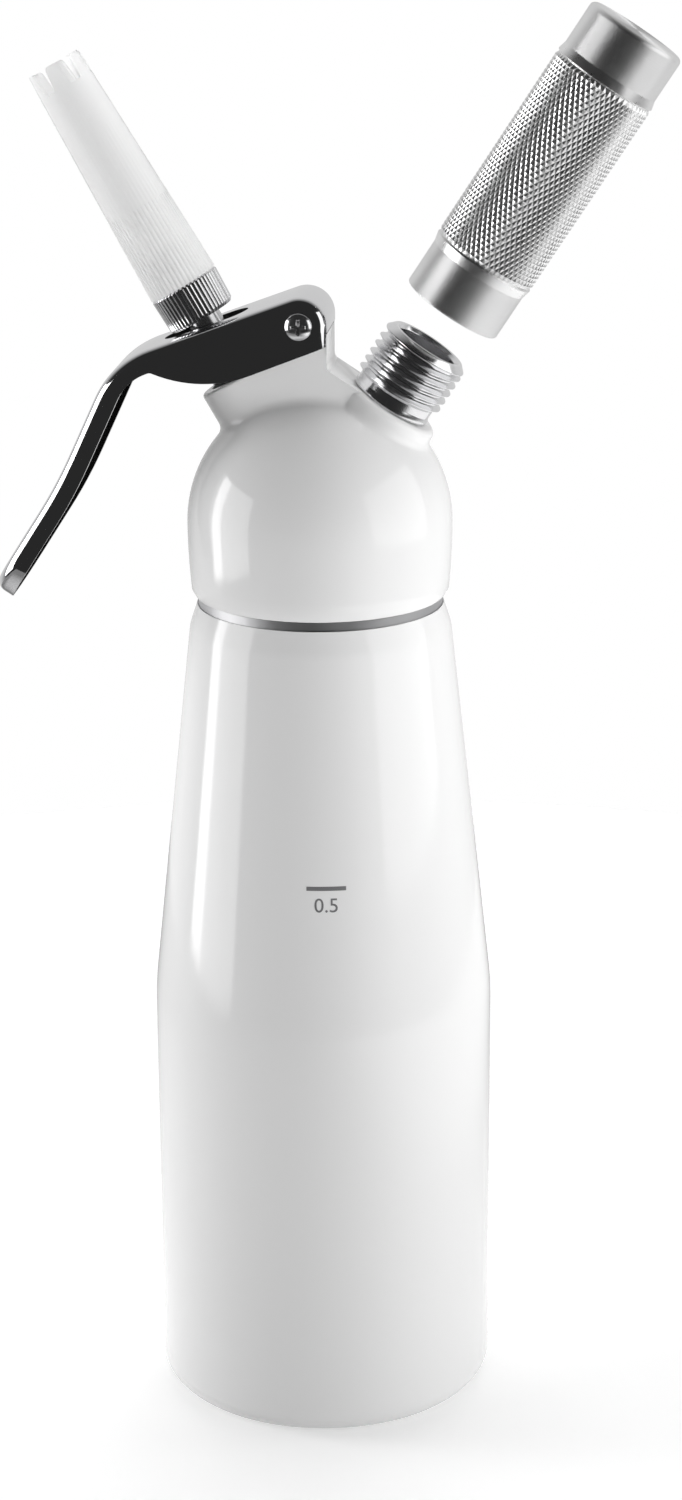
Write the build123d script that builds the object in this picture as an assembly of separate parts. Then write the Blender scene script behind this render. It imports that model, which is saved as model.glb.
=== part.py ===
"""Half-litre cream whipper: bottle, head with a lever valve, decorating tip and charger holder.

Millimetres, +Z up, origin at the centre of the base. The head's plane of symmetry is XZ:
the lever and the tip lean towards -X, the charger port and its holder towards +X.
"""

from build123d import *
import os
from math import ceil, cos, pi, radians, sin, sqrt, tan

# Fits
RUNNING_GAP = 0.05          # radial gap of a shaft, a thread or a seal in its bore
FACE_GAP = 0.05             # gap between faces that seat on each other
MOVING_GAP = 0.35           # gap between pieces that pass each other
THREAD_GAP = 0.35           # radial gap between two plain cylinders that stand for a thread
CUT_PAST = 1.0              # how far a cutter runs past the face that it opens

# Bottle
COLLAR_Z = 191.9            # top of the paint, the main height: all that is above stands on it
BOTTLE_R = 39.5
BOTTLE_WALL = 1.6
BASE_THICKNESS = 3.0
BASE_CORNER_R = 5.0
TAPER_DROP = 92.6           # from the top of the paint down to where the taper starts
TAPER_BLEND_R = 60.0
SHOULDER_R = 29.85          # radius of the corner that the shoulder rounds
SHOULDER_DROP = 5.2         # from the top of the paint down to that corner
SHOULDER_ROUND = 9.0
SHOULDER_TOP_R = 28.1
COLLAR_R = 27.8             # bare ring below the head
COLLAR_HEIGHT = 2.0
NECK_R = 25.9
NECK_BORE_R = 22.6
NECK_HEIGHT = 13.2          # above the bare ring
NECK_LIP_CHAMFER = 0.8
INNER_SHOULDER_DROP = 9.0   # from the top of the paint down to where the bore widens

# Head
SKIRT_GAP = 0.3             # between the bare ring and the rim of the head
RIM_R = 28.5
RIM_CHAMFER = 1.4
SKIRT_R = 29.3
DOME_R = 30.0
DOME_RISE = 16.5            # from the rim up to the widest place
CAVITY_R = 24.0
SLAB_EDGE_R = 0.8
DOME_BLEND_R = 2.5
GASKET_THICKNESS = 2.0
GASKET_BORE_R = 23.2

# Valve axis and port axis: where they cross the bottle's axis, and their lean
AXES_RISE = 1.0             # above the widest place of the dome
VALVE_TILT = -30.0
PORT_X = -1.2
PORT_TILT = 33.2

# Along the valve axis
SEAT_AT = 24.0              # valve seat inside the dome
SEAT_BORE_R = 7.6
SPRING_FLOOR_AT = 32.0
NOSE_TOP_AT = 37.0
SPRING_POCKET_R = 6.4
STEM_R = 4.0
STEM_BORE_R = 2.0
STEM_THREAD_LENGTH = 6.0    # of the stem inside the adapter
FOOT_R = 6.2
FOOT_THICKNESS = 2.2
POPPET_R = 6.6
POPPET_THICKNESS = 2.0
CROSS_HOLE_R = 1.1
CROSS_HOLE_AT = 26.2
STEM_BORE_FLOOR = 0.6       # below the cross holes
O_RING_AT = 29.6
O_RING_WIRE_R = 0.7
STEM_COLLAR_R = 6.5
STEM_COLLAR_HEIGHT = 3.1
STEM_COLLAR_EDGE_R = 0.7
SPRING_MEAN_R = 5.2
SPRING_WIRE_R = 0.5
SPRING_TURNS = 5.5
ADAPTER_HEIGHT = 8.4
ADAPTER_FOOT_R = 7.8
ADAPTER_TOP_R = 8.15
SPIGOT_R = 6.0
SPIGOT_LENGTH = 8.0
SPIGOT_BORE_R = 2.6
ADAPTER_SEAL_THICKNESS = 0.8
TIP_LENGTH = 55.5
TIP_FOOT_R = 8.1
TIP_MOUTH_R = 6.3
TIP_THROAT_R = 5.4
TIP_WALL = 1.4
TIP_SOCKET_SPARE = 0.6
TIP_TEETH = 6
TIP_NOTCH_WIDTH = 2.6       # at its floor and on the outside of the tip
TIP_NOTCH_DEPTH = 5.5
TIP_NOTCH_FLARE = 0.45      # how far each side opens out on its way to the mouth
TIP_TOOTH_ROUND = 1.2       # of the corners of a tooth
TIP_TOOTH_LIFT = 0.1        # how far the rounds run past the mouth
TIP_NOTCH_TURN = -56.0      # angle of one notch about the tip's axis

# Lever
PIVOT_X = -3.3
PIVOT_RISE = 44.8           # above the crossing of the axes
LEVER_WIDTH = 21.6
LEVER_SHEET = 1.4
LEVER_BEND_R = 2.5
LEVER_ROUND_R = 6.2         # of the rear end, about the pivot
LEVER_WEB_TILT = 19.9       # below the horizontal
LEVER_WEB_LENGTH = 42.6     # pivot to the corner of the handle
LEVER_HANDLE_TILT = 64.9
LEVER_HANDLE_UPPER = 31.0
LEVER_TIP_TILT = 57.0
LEVER_HANDLE_LOWER = 30.0
LEVER_KNEE_R = 22.0
LEVER_KNEE_EDGE_R = 11.5    # of the flange edge under the knee
LEVER_SWEEP_R = 110.0
LEVER_HANDLE_DEPTH = 4.9
LEVER_CHEEK_DEPTH = 12.5    # flange depth at the pivot
LEVER_CHEEK_LENGTH = 34.9   # pivot to the end of the deep flange
LEVER_CHEEK_CORNER = 25.5   # pivot to the deepest corner
LEVER_CHEEK_CORNER_DEPTH = 13.1
LEVER_CHEEK_ROUND = 30.0
LEVER_REAR_DROP = 1.5       # how far the web wraps below the pivot
LEVER_SLOT_LENGTH = 20.0
LEVER_SLOT_WIDTH = 9.6
LEVER_SIDE_GAP = 0.4        # between a flange and the lug slab
LUG_OVERHANG = 0.2          # rear face of the lug inside the rear of the lever
LUG_STEP_GAP = 0.5
LUG_WALL_CLEARANCE = 1.7    # lug beside the collar

# Pivot
SLEEVE_R = 2.5
SLEEVE_HEAD_R = 3.3
SCREW_R = 1.5
SCREW_HEAD_R = 3.05
SCREW_HEAD_HEIGHT = 1.5
SCREW_CROSS_LENGTH = 3.4
SCREW_CROSS_WIDTH = 0.9
SCREW_CROSS_DEPTH = 0.9
SCREW_LENGTH = 14.0

# Along the port axis
PORT_SEAT_AT = 31.4
PORT_BOSS_R = 12.2
PORT_BOSS_EDGE_R = 1.6
PORT_SHANK_R = 6.0
PORT_SHANK_END_AT = 24.0
PORT_NECK_R = 9.4
PORT_NECK_LENGTH = 2.0
PORT_THREAD_R = 10.4
PORT_TOP_AT = 47.2
PORT_TOP_CHAMFER = 1.7
PORT_RECESS_R = 7.2
PORT_RECESS_FLOOR_AT = 35.6
PORT_SEAL_R = 8.6
PORT_SEAL_THICKNESS = 1.0
PIN_FLANGE_R = 6.8
PIN_FLANGE_THICKNESS = 1.4
PIN_SHANK_R = 2.0
PIN_SHANK_INSET = 1.0       # end of the shank inside the end of the port
PIN_NEEDLE_R = 1.1
PIN_TIP_R = 0.35
PIN_TIP_ABOVE_SEAL = 2.6
PIN_BORE_R = 0.5
CHARGER_SEAL_THICKNESS = 1.4
CHECK_SLEEVE_WALL = 0.8
CHECK_SLEEVE_LENGTH = 4.0

# Charger holder, from its mouth; the rest place is off the port, as photographed
HOLDER_MOUTH_AT = 56.5
HOLDER_LENGTH = 72.4
HOLDER_END_R = 11.7
HOLDER_GRIP_R = 12.1
HOLDER_END_LENGTH = 10.8
HOLDER_CONE_LENGTH = 2.4
HOLDER_EDGE_R = 1.2
HOLDER_THREAD_DEPTH = 13.5
HOLDER_BORE_R = 9.4
HOLDER_END_WALL = 1.9
HOLDER_PAD_R = 7.9          # the pad sits flush in a pocket of the floor
HOLDER_PAD_THICKNESS = 1.5

# Worked out from the sizes above
TAPER_Z = COLLAR_Z - TAPER_DROP
SHOULDER_Z = COLLAR_Z - SHOULDER_DROP
SKIRT_BORE_R = NECK_R + THREAD_GAP
RING_TOP_Z = COLLAR_Z + COLLAR_HEIGHT
RIM_Z = RING_TOP_Z + SKIRT_GAP
DOME_Z = RIM_Z + DOME_RISE
AXES_Z = DOME_Z + AXES_RISE
PIVOT_Z = AXES_Z + PIVOT_RISE
NECK_TOP_Z = RING_TOP_Z + NECK_HEIGHT
GASKET_Z = NECK_TOP_Z + FACE_GAP
LEDGE_Z = GASKET_Z + GASKET_THICKNESS + FACE_GAP
LEVER_HALF = LEVER_WIDTH / 2
SLAB_HALF = LEVER_HALF - LEVER_SHEET - LEVER_SIDE_GAP
LUG_R = LEVER_ROUND_R - LEVER_SHEET - MOVING_GAP
THREAD_BORE_R = PORT_THREAD_R + THREAD_GAP


def leaning(x, z, tilt):
    """Frame whose z axis leans by tilt degrees from +Z towards +X, in the XZ plane."""
    lean = radians(tilt)
    return Plane(origin=(x, 0, z), x_dir=(cos(lean), 0, -sin(lean)), z_dir=(sin(lean), 0, cos(lean)))


VALVE = leaning(0, AXES_Z, VALVE_TILT)
PORT = leaning(PORT_X, AXES_Z, PORT_TILT)


def on_frame(frame, across, along):
    """World (x, z) of a point that lies across and along a leaning frame."""
    point = frame.from_local_coords((across, 0, along))
    return point.X, point.Z


def outline(corners):
    """Closed face in the XZ plane from corners (x, z) or (x, z, rounding radius)."""
    points = [(corner[0], corner[1]) for corner in corners]
    radii = [corner[2] if len(corner) > 2 else 0 for corner in corners]
    return Plane.XZ * make_face(FilletPolyline(*points, radius=radii, close=True))


def lathe(corners):
    """Solid turned about Z from corners (radius, height) or (radius, height, rounding radius)."""
    return revolve(outline(corners), Axis.Z)


def on_axis(frame, solid):
    return Location(frame) * solid


def cylinder_along(frame, radius, start, end):
    """Cylinder about the z axis of a leaning frame, between two places along it."""
    blank = Pos(0, 0, start) * Cylinder(radius, end - start, align=(Align.CENTER, Align.CENTER, Align.MIN))
    return on_axis(frame, blank)


def ring_along(frame, outer_r, inner_r, start, end):
    return on_axis(frame, lathe([(inner_r, start), (outer_r, start), (outer_r, end), (inner_r, end)]))


# Bottle


def make_bottle():
    taper_slope = (BOTTLE_R - SHOULDER_R) / (SHOULDER_Z - TAPER_Z)
    inner_shoulder_z = COLLAR_Z - INNER_SHOULDER_DROP
    inner_shoulder_r = BOTTLE_R - BOTTLE_WALL - taper_slope * (inner_shoulder_z - TAPER_Z)
    body = lathe([
        (0, 0),
        (BOTTLE_R, 0, BASE_CORNER_R),
        (BOTTLE_R, TAPER_Z, TAPER_BLEND_R),
        (SHOULDER_R, SHOULDER_Z, SHOULDER_ROUND),
        (SHOULDER_TOP_R, COLLAR_Z),
        (COLLAR_R, COLLAR_Z),
        (COLLAR_R, RING_TOP_Z),
        (NECK_R, RING_TOP_Z),
        (NECK_R, NECK_TOP_Z - NECK_LIP_CHAMFER),
        (NECK_R - NECK_LIP_CHAMFER, NECK_TOP_Z),
        (0, NECK_TOP_Z),
    ])
    inside = lathe([
        (0, BASE_THICKNESS),
        (BOTTLE_R - BOTTLE_WALL, BASE_THICKNESS, BASE_CORNER_R - BOTTLE_WALL),
        (BOTTLE_R - BOTTLE_WALL, TAPER_Z, TAPER_BLEND_R),
        (inner_shoulder_r, inner_shoulder_z, SHOULDER_ROUND / 2),
        (NECK_BORE_R, COLLAR_Z, SHOULDER_ROUND / 2),
        (NECK_BORE_R, NECK_TOP_Z + CUT_PAST),
        (0, NECK_TOP_Z + CUT_PAST),
    ])
    return body - inside


# Head


def pivot_in_valve():
    """Across and along the valve axis to the pivot."""
    local = VALVE.to_local_coords(Vector(PIVOT_X, 0, PIVOT_Z))
    return local.X, local.Z


def dome():
    """Barrel skirt that meets a half sphere at its widest place."""
    skirt_foot = (SKIRT_R, RIM_Z + RIM_CHAMFER)
    diagonal = DOME_R / sqrt(2)
    profile = Curve() + [
        Line((0, RIM_Z), (RIM_R, RIM_Z)),
        Line((RIM_R, RIM_Z), skirt_foot),
        TangentArc((DOME_R, DOME_Z), skirt_foot, tangent=(0, -1)),
        ThreePointArc((DOME_R, DOME_Z), (diagonal, DOME_Z + diagonal), (0, DOME_Z + DOME_R)),
        Line((0, DOME_Z + DOME_R), (0, RIM_Z)),
    ]
    return revolve(Plane.XZ * make_face(profile), Axis.Z)


def slab():
    """Flat-sided lug plate between the nose and the charger boss."""
    lug_left = STEM_COLLAR_R + LUG_WALL_CLEARANCE
    lug_top = pivot_in_valve()[1] + LUG_R
    rear_x = PIVOT_X + LUG_R
    face_x = PIVOT_X + LEVER_ROUND_R - LUG_OVERHANG
    step_z = PIVOT_Z - LEVER_REAR_DROP - LUG_STEP_GAP
    lean = radians(VALVE_TILT)
    top_x, top_z = on_frame(VALVE, 0, lug_top)
    top_z_at_rear = top_z - (rear_x - top_x) * tan(lean)
    port_seat = on_frame(PORT, 0, PORT_SEAT_AT)
    seat_z_at_face = port_seat[1] + (port_seat[0] - face_x) * tan(radians(PORT_TILT))
    corners = [
        on_frame(VALVE, 0, SEAT_AT),
        on_frame(VALVE, 0, NOSE_TOP_AT),
        (*on_frame(VALVE, lug_left, NOSE_TOP_AT), SLAB_EDGE_R),
        (*on_frame(VALVE, lug_left, lug_top), SLAB_EDGE_R),
        (rear_x, top_z_at_rear, LUG_R),
        (rear_x, step_z),
        (face_x, step_z),
        (face_x, seat_z_at_face, 2 * SLAB_EDGE_R),
        port_seat,
        on_frame(PORT, 0, SEAT_AT),
    ]
    plate = extrude(outline(corners), SLAB_HALF, both=True)
    return fillet(slab_edges(plate), SLAB_EDGE_R)


def slab_edges(plate):
    """Edges of the two flat sides that stand clear of the nose and the boss."""
    found = []
    for edge in plate.edges():
        places = [edge @ 0, edge @ 0.5, edge @ 1]
        on_side = all(abs(abs(place.Y) - SLAB_HALF) < 0.001 for place in places)
        above_nose = VALVE.to_local_coords(edge @ 0.5).Z > NOSE_TOP_AT - 0.001
        above_boss = PORT.to_local_coords(edge @ 0.5).Z > PORT_SEAT_AT - 0.001
        if on_side and above_nose and above_boss:
            found.append(edge)
    return found


def dome_seams(casting):
    """Edges where the slab, the nose and the boss stand on the dome."""
    centre = Vector(0, 0, DOME_Z)
    found = []
    for edge in casting.edges():
        places = [edge @ 0, edge @ 0.5, edge @ 1]
        on_dome = all(abs((place - centre).length - DOME_R) < 0.01 for place in places)
        high = min(place.Z for place in places) > DOME_Z + DOME_BLEND_R
        if on_dome and high:
            found.append(edge)
    return found


def make_head():
    nose = on_axis(VALVE, lathe([
        (0, SEAT_AT),
        (SLAB_HALF, SEAT_AT),
        (SLAB_HALF, NOSE_TOP_AT, SLAB_EDGE_R),
        (0, NOSE_TOP_AT),
    ]))
    boss = on_axis(PORT, lathe([
        (0, SEAT_AT),
        (PORT_BOSS_R, SEAT_AT),
        (PORT_BOSS_R, PORT_SEAT_AT, PORT_BOSS_EDGE_R),
        (0, PORT_SEAT_AT),
    ]))
    casting = dome() + slab() + nose + boss
    casting = fillet(dome_seams(casting), DOME_BLEND_R)
    cavity = Pos(0, 0, DOME_Z) * Sphere(CAVITY_R)
    cavity -= Pos(0, 0, LEDGE_Z) * Cylinder(
        CAVITY_R + CUT_PAST, 2 * CAVITY_R, align=(Align.CENTER, Align.CENTER, Align.MAX))
    skirt_bore = Pos(0, 0, RIM_Z) * Cylinder(
        SKIRT_BORE_R, LEDGE_Z - RIM_Z, align=(Align.CENTER, Align.CENTER, Align.MIN))
    seat_face = cylinder_along(VALVE, SEAT_BORE_R, SEAT_AT - FOOT_R, SEAT_AT)
    stem_bore = cylinder_along(VALVE, STEM_R + RUNNING_GAP, SEAT_AT - CUT_PAST, NOSE_TOP_AT)
    spring_pocket = cylinder_along(VALVE, SPRING_POCKET_R, SPRING_FLOOR_AT, NOSE_TOP_AT + CUT_PAST)
    port_mouth = PORT_SEAT_AT + CUT_PAST
    port_bore = cylinder_along(PORT, PORT_SHANK_R + RUNNING_GAP, PORT_SHANK_END_AT - FOOT_R, port_mouth)
    seal_floor = PORT_SEAT_AT - PORT_SEAL_THICKNESS - FACE_GAP
    seal_pocket = cylinder_along(PORT, PORT_SEAL_R + RUNNING_GAP, seal_floor, port_mouth)
    pivot_bore = Pos(PIVOT_X, 0, PIVOT_Z) * Rot(90, 0, 0) * Cylinder(SLEEVE_R + RUNNING_GAP, LEVER_WIDTH)
    return casting - [cavity, skirt_bore, seat_face, stem_bore, spring_pocket,
                      port_bore, seal_pocket, pivot_bore]


def make_head_gasket():
    return lathe([
        (GASKET_BORE_R, GASKET_Z),
        (SKIRT_BORE_R - RUNNING_GAP, GASKET_Z),
        (SKIRT_BORE_R - RUNNING_GAP, GASKET_Z + GASKET_THICKNESS),
        (GASKET_BORE_R, GASKET_Z + GASKET_THICKNESS),
    ])


# Lever


def heading(tilt):
    """Unit vector (x, z) that runs towards -X and down by tilt degrees."""
    return Vector(-cos(radians(tilt)), -sin(radians(tilt)))


def inward(tilt):
    """Unit vector (x, z) from the outer face of a stretch of lever to its inside."""
    return Vector(sin(radians(tilt)), -cos(radians(tilt)))


def shifted_corner(corner, tilt_before, tilt_after, depth):
    """Corner of two stretches of lever, moved inside by depth from both."""
    turn = radians(tilt_after - tilt_before)
    return corner + (inward(tilt_before) + inward(tilt_after)) * (depth / (1 + cos(turn)))


def lever_corners():
    """Foot above the pivot, knee, bend of the handle and end, on the outer face."""
    foot = Vector(PIVOT_X, PIVOT_Z) - inward(LEVER_WEB_TILT) * LEVER_ROUND_R
    knee = foot + heading(LEVER_WEB_TILT) * LEVER_WEB_LENGTH
    bend = knee + heading(LEVER_HANDLE_TILT) * LEVER_HANDLE_UPPER
    end = bend + heading(LEVER_TIP_TILT) * LEVER_HANDLE_LOWER
    return foot, knee, bend, end


def web_line(depth):
    """Corners of the web from its rear to the end of the handle, moved inside by depth."""
    foot, knee, bend, end = lever_corners()
    web_point = foot + inward(LEVER_WEB_TILT) * depth
    rear_x = PIVOT_X + LEVER_ROUND_R - depth
    rear_z = web_point.Y + (rear_x - web_point.X) * tan(radians(LEVER_WEB_TILT))
    knee_in = shifted_corner(knee, LEVER_WEB_TILT, LEVER_HANDLE_TILT, depth)
    bend_in = shifted_corner(bend, LEVER_HANDLE_TILT, LEVER_TIP_TILT, depth)
    end_in = end + inward(LEVER_TIP_TILT) * depth - heading(LEVER_TIP_TILT) * depth
    return [
        (rear_x, rear_z, LEVER_ROUND_R - depth),
        (knee_in.X, knee_in.Y, LEVER_KNEE_R - depth),
        (bend_in.X, bend_in.Y, LEVER_SWEEP_R + depth),
        (end_in.X, end_in.Y),
    ]


def lever_side():
    """Side view of the lever: the web line, then back along the edge of the flanges."""
    foot, knee, bend, end = lever_corners()
    web = heading(LEVER_WEB_TILT)
    below = inward(LEVER_WEB_TILT)
    tip_edge = end + inward(LEVER_TIP_TILT) * LEVER_HANDLE_DEPTH
    bend_edge = shifted_corner(bend, LEVER_HANDLE_TILT, LEVER_TIP_TILT, LEVER_HANDLE_DEPTH)
    knee_edge = shifted_corner(knee, LEVER_WEB_TILT, LEVER_HANDLE_TILT, LEVER_HANDLE_DEPTH)
    cheek_end = foot + web * LEVER_CHEEK_LENGTH + below * LEVER_HANDLE_DEPTH
    cheek_corner = foot + web * LEVER_CHEEK_CORNER + below * LEVER_CHEEK_CORNER_DEPTH
    rear_x = PIVOT_X + LEVER_ROUND_R
    rear_line = foot + below * LEVER_CHEEK_DEPTH
    rear_z = rear_line.Y + (rear_x - rear_line.X) * tan(radians(LEVER_WEB_TILT))
    return web_line(0) + [
        (tip_edge.X, tip_edge.Y),
        (bend_edge.X, bend_edge.Y, LEVER_SWEEP_R + LEVER_HANDLE_DEPTH),
        (knee_edge.X, knee_edge.Y, LEVER_KNEE_EDGE_R),
        (cheek_end.X, cheek_end.Y, LEVER_SHEET),
        (cheek_corner.X, cheek_corner.Y, LEVER_CHEEK_ROUND),
        (rear_x, rear_z),
    ]


def lever_inside():
    """Side view of the space between the flanges, open below and at the rear."""
    end = lever_corners()[3]
    reach = 2 * LEVER_CHEEK_DEPTH
    far_end = end + inward(LEVER_TIP_TILT) * reach
    web_end_z = PIVOT_Z - LEVER_REAR_DROP
    return web_line(LEVER_SHEET) + [
        (far_end.X, far_end.Y),
        (PIVOT_X + reach, far_end.Y),
        (PIVOT_X + reach, web_end_z),
        (PIVOT_X + LEVER_ROUND_R - LEVER_SHEET, web_end_z),
    ]


def rounded_channel(side, half_width):
    """Side view drawn out to the width, with a half-round end to the handle."""
    end = lever_corners()[3]
    centre = end - heading(LEVER_TIP_TILT) * LEVER_HALF
    along = heading(LEVER_TIP_TILT)
    out = inward(LEVER_TIP_TILT) * -1
    end_frame = Plane(origin=(centre.X, 0, centre.Y), x_dir=(along.X, 0, along.Y), z_dir=(out.X, 0, out.Y))
    reach = 4 * LEVER_CHEEK_DEPTH
    waste = Pos(LEVER_WIDTH, 0, 0) * Box(2 * LEVER_WIDTH, 2 * LEVER_WIDTH, reach)
    waste -= Cylinder(half_width, 2 * reach)
    return extrude(outline(side), half_width, both=True) - Location(end_frame) * waste


def bend_edges(channel, corners):
    """Edges where the web of a channel turns down into its flanges and its end."""
    points = [(corner[0], corner[1]) for corner in corners]
    radii = [corner[2] for corner in corners[1:-1]]
    line = Plane.XZ * FilletPolyline(*points, radius=radii)
    found = []
    for edge in channel.edges():
        middle = edge @ 0.5
        across = edge.geom_type == GeomType.LINE and abs((edge % 0.5).Y) > 0.9
        if not across and line.distance_to(Vector(middle.X, 0, middle.Z)) < 0.02:
            found.append(edge)
    return found


def make_lever():
    outer = rounded_channel(lever_side(), LEVER_HALF)
    outer = fillet(bend_edges(outer, web_line(0)), LEVER_BEND_R)
    inner_half = LEVER_HALF - LEVER_SHEET
    inner = rounded_channel(lever_inside(), inner_half)
    inner = fillet(bend_edges(inner, web_line(LEVER_SHEET)), LEVER_BEND_R - LEVER_SHEET)
    web_frame = leaning(*slot_centre(), -LEVER_WEB_TILT)
    slot = extrude(SlotOverall(LEVER_SLOT_LENGTH, LEVER_SLOT_WIDTH), LEVER_CHEEK_DEPTH / 2, both=True)
    pivot_hole = Pos(PIVOT_X, 0, PIVOT_Z) * Rot(90, 0, 0) * Cylinder(SLEEVE_R + RUNNING_GAP, 2 * LEVER_WIDTH)
    return outer - [inner, Location(web_frame) * slot, pivot_hole]


def slot_centre():
    """World (x, z) where the valve axis passes the outer face of the web."""
    foot = lever_corners()[0]
    slope = tan(radians(LEVER_WEB_TILT))
    lean = tan(radians(VALVE_TILT))
    height = (foot.Y - slope * foot.X - AXES_Z) / (1 - slope * lean)
    return lean * height, AXES_Z + height


# Pivot


def on_pivot(solid):
    """Turned solid whose z axis becomes the pivot axis, towards the far side (+Y)."""
    return Pos(PIVOT_X, 0, PIVOT_Z) * Rot(-90, 0, 0) * solid


def make_pivot_sleeve():
    near = -LEVER_HALF
    far = LEVER_HALF + FACE_GAP
    tube_bore = SCREW_R + RUNNING_GAP
    return on_pivot(lathe([
        (tube_bore, near),
        (SLEEVE_R, near),
        (SLEEVE_R, far),
        (SLEEVE_HEAD_R, far),
        (SLEEVE_HEAD_R, far + SCREW_HEAD_HEIGHT, SCREW_HEAD_HEIGHT / 2),
        (0, far + SCREW_HEAD_HEIGHT),
        (0, far),
        (tube_bore, far),
    ]))


def make_pivot_screw():
    under_head = -LEVER_HALF - FACE_GAP
    top = under_head - SCREW_HEAD_HEIGHT
    blank = lathe([
        (0, top),
        (SCREW_HEAD_R, top, SCREW_HEAD_HEIGHT * 0.9),
        (SCREW_HEAD_R, under_head),
        (SCREW_R, under_head),
        (SCREW_R, under_head + SCREW_LENGTH),
        (0, under_head + SCREW_LENGTH),
    ])
    bar = Pos(0, 0, top) * Box(SCREW_CROSS_LENGTH, SCREW_CROSS_WIDTH, 2 * SCREW_CROSS_DEPTH)
    return on_pivot(blank - [bar, Rot(0, 0, 90) * bar])


# Valve


def web_along(depth, across):
    """Place of the lever's web along the valve axis, at a depth below the web's outer face."""
    pivot_across, pivot_along = pivot_in_valve()
    lean = radians(-VALVE_TILT - LEVER_WEB_TILT)
    return pivot_along + (LEVER_ROUND_R - depth) / cos(lean) + (pivot_across - across) * tan(lean)


def collar_reach():
    """How far across the valve axis the web first meets the collar, beside the slot."""
    return sqrt(STEM_COLLAR_R**2 - (LEVER_SLOT_WIDTH / 2) ** 2)


COLLAR_TOP_AT = web_along(LEVER_SHEET, collar_reach()) - MOVING_GAP
COLLAR_FOOT_AT = COLLAR_TOP_AT - STEM_COLLAR_HEIGHT
ADAPTER_FOOT_AT = web_along(0, -ADAPTER_FOOT_R) + MOVING_GAP
ADAPTER_TOP_AT = ADAPTER_FOOT_AT + ADAPTER_HEIGHT
STEM_TOP_AT = ADAPTER_FOOT_AT + STEM_THREAD_LENGTH
POPPET_TOP_AT = SEAT_AT - FACE_GAP
FOOT_TOP_AT = POPPET_TOP_AT - POPPET_THICKNESS - FACE_GAP


def make_valve_stem():
    groove_r = STEM_R - 2 * O_RING_WIRE_R
    groove_half = O_RING_WIRE_R + 2 * FACE_GAP
    foot_at = FOOT_TOP_AT - FOOT_THICKNESS
    bore_floor = CROSS_HOLE_AT - CROSS_HOLE_R - STEM_BORE_FLOOR
    blank = lathe([
        (0, foot_at),
        (FOOT_R, foot_at, FOOT_THICKNESS / 4),
        (FOOT_R, FOOT_TOP_AT),
        (STEM_R, FOOT_TOP_AT),
        (STEM_R, O_RING_AT - groove_half),
        (groove_r, O_RING_AT - groove_half),
        (groove_r, O_RING_AT + groove_half),
        (STEM_R, O_RING_AT + groove_half),
        (STEM_R, STEM_TOP_AT),
        (STEM_BORE_R, STEM_TOP_AT),
        (STEM_BORE_R, bore_floor),
        (0, bore_floor),
    ])
    hole = Pos(0, 0, CROSS_HOLE_AT) * Rot(90, 0, 0) * Cylinder(CROSS_HOLE_R, 3 * STEM_R)
    return on_axis(VALVE, blank - [hole, Rot(0, 0, 90) * hole])


def make_stem_o_ring():
    wire_r = O_RING_WIRE_R - FACE_GAP / 2
    return on_axis(VALVE, Pos(0, 0, O_RING_AT) * Torus(STEM_R - O_RING_WIRE_R, wire_r))


def make_poppet_gasket():
    return ring_along(VALVE, POPPET_R, STEM_R + RUNNING_GAP, POPPET_TOP_AT - POPPET_THICKNESS, POPPET_TOP_AT)


def make_stem_collar():
    bore = STEM_R + RUNNING_GAP
    return on_axis(VALVE, lathe([
        (bore, COLLAR_FOOT_AT),
        (STEM_COLLAR_R, COLLAR_FOOT_AT),
        (STEM_COLLAR_R, COLLAR_TOP_AT, STEM_COLLAR_EDGE_R),
        (bore, COLLAR_TOP_AT),
    ]))


def helix_point(turn, start, rise):
    angle = 2 * pi * turn
    return Vector(SPRING_MEAN_R * cos(angle), SPRING_MEAN_R * sin(angle), start + rise * turn)


def helix_heading(turn, rise):
    angle = 2 * pi * turn
    around = 2 * pi * SPRING_MEAN_R
    return Vector(-around * sin(angle), around * cos(angle), rise).normalized()


def biarc(start, start_heading, end, end_heading):
    """Two tangent arcs that join two points and keep the heading at both."""
    span = end - start
    both = start_heading + end_heading
    spread = 2 * (1 - start_heading.dot(end_heading))
    reach = (sqrt(span.dot(both) ** 2 + spread * span.dot(span)) - span.dot(both)) / spread
    knee = start + start_heading * reach
    other_knee = end - end_heading * reach
    joint = (knee + other_knee) * 0.5
    joint_heading = (other_knee - knee).normalized()
    return [
        Edge.make_tangent_arc(start, start_heading, joint),
        Edge.make_tangent_arc(joint, joint_heading, end),
    ]


def make_valve_spring():
    """One unbroken round wire, wound on arcs of less than a quarter turn."""
    start = SPRING_FLOOR_AT + FACE_GAP + SPRING_WIRE_R
    end = COLLAR_FOOT_AT - FACE_GAP - SPRING_WIRE_R
    rise = (end - start) / SPRING_TURNS
    quarters = ceil(4 * SPRING_TURNS)
    places = [SPRING_TURNS * step / quarters for step in range(quarters + 1)]
    arcs = []
    for before, after in zip(places, places[1:]):
        arcs += biarc(helix_point(before, start, rise), helix_heading(before, rise),
                      helix_point(after, start, rise), helix_heading(after, rise))
    wire = Wire(arcs)
    section = Plane(origin=helix_point(0, start, rise), z_dir=helix_heading(0, rise)) * Circle(SPRING_WIRE_R)
    print("spring: gap between turns", round(spring_gap(start, rise), 2), "mm")
    return on_axis(VALVE, sweep(section, path=wire))


def spring_gap(start, rise):
    """Least gap from the first turn of the wire to the points of the next one."""
    steps = [turn / 36 for turn in range(19)]
    origin = helix_point(0, start, rise)
    nearest = min((helix_point(0.75 + step, start, rise) - origin).length for step in steps)
    return nearest - 2 * SPRING_WIRE_R


# Tip


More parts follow.
